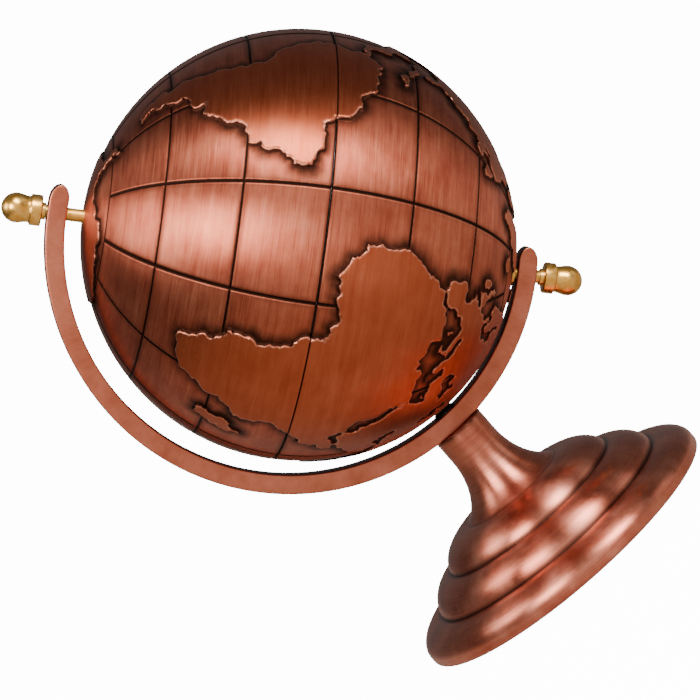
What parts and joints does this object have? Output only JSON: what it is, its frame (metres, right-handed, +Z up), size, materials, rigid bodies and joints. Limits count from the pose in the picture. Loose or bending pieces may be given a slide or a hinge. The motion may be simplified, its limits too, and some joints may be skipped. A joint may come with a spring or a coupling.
{
  "type": "desk globe",
  "caption": "Desk globe: two relief half shells on a tilted brass axle, held by a C-shaped meridian arc on a turned pedestal foot.",
  "frame": {"origin": "centre of the pedestal's felt face, where the globe stands on a desk", "axes": "+Z up; the arc and the axle lie in the XZ plane; the upper knob, at the south pole, leans towards -X; -Y is the side that a viewer faces"},
  "size_m": [0.1381, 0.1276, 0.1892],
  "materials": {
    "relief_copper": "cast aluminium plated with copper, darkened and then brushed back along the parallels, so that the grooves stay nearly black",
    "satin_copper": "cast aluminium plated with copper, with satin brushed side faces and dark edges",
    "turned_copper": "turned cast aluminium plated with antique copper and polished, with dull worn patches",
    "bare_aluminium": "as rolled, out of sight",
    "brass": "turned and polished, a little tarnished in the corners",
    "steel": "zinc plated, dulled",
    "board": "raw hardboard, out of sight",
    "felt": "glued dark green felt"
  },
  "bodies": {
    "stand": {"pedestal": "turned_copper", "base_board": "board", "base_felt": "felt", "meridian_arc": "satin_copper", "arc_bolt": "steel", "bolt_washer": "steel", "spring_washer": "steel", "bolt_nut": "steel"},
    "axle": {"axle_rod": "brass", "upper_knob": "brass", "lower_knob": "brass"},
    "globe": {"south_half_shell": "relief_copper", "north_half_shell": "relief_copper", "seam_ring": "bare_aluminium", "south_pole_bush": "brass", "north_pole_bush": "brass", "thrust_washer": "brass"}
  },
  "joints": [
    {"name": "axle_turn", "type": "hinge", "parent": "stand", "child": "axle", "pos_m": [0, 0, 0.1221], "axis": [-0.6561, 0, 0.7547], "continuous": true},
    {"name": "globe_spin", "type": "hinge", "parent": "axle", "child": "globe", "pos_m": [0, 0, 0.1221], "axis": [-0.6561, 0, 0.7547], "continuous": true}
  ]
}
